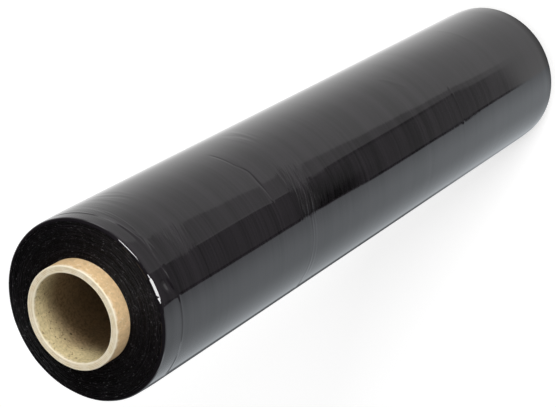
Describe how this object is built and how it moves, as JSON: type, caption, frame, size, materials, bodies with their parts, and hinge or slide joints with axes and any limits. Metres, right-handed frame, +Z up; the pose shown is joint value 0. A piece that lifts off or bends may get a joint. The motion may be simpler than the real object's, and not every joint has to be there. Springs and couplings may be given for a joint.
{
  "type": "stretch wrap roll",
  "caption": "Black stretch wrapping film wound on an open cardboard core that stands out at both ends; stands on its end.",
  "frame": {"origin": "middle of the core's lower end, on the surface that the roll stands on", "axes": "+Z up along the roll's axis, towards the end that the picture shows; -Y is the side that the picture shows, though the two solids are the same all the way round"},
  "size_m": [0.1053, 0.1054, 0.522],
  "materials": {
    "cardboard": "matt recycled board with a paler cut edge",
    "film": "glossy black film, softly streaked round the roll"
  },
  "bodies": {
    "root": {"core": "cardboard", "film_roll": "film"}
  },
  "joints": []
}
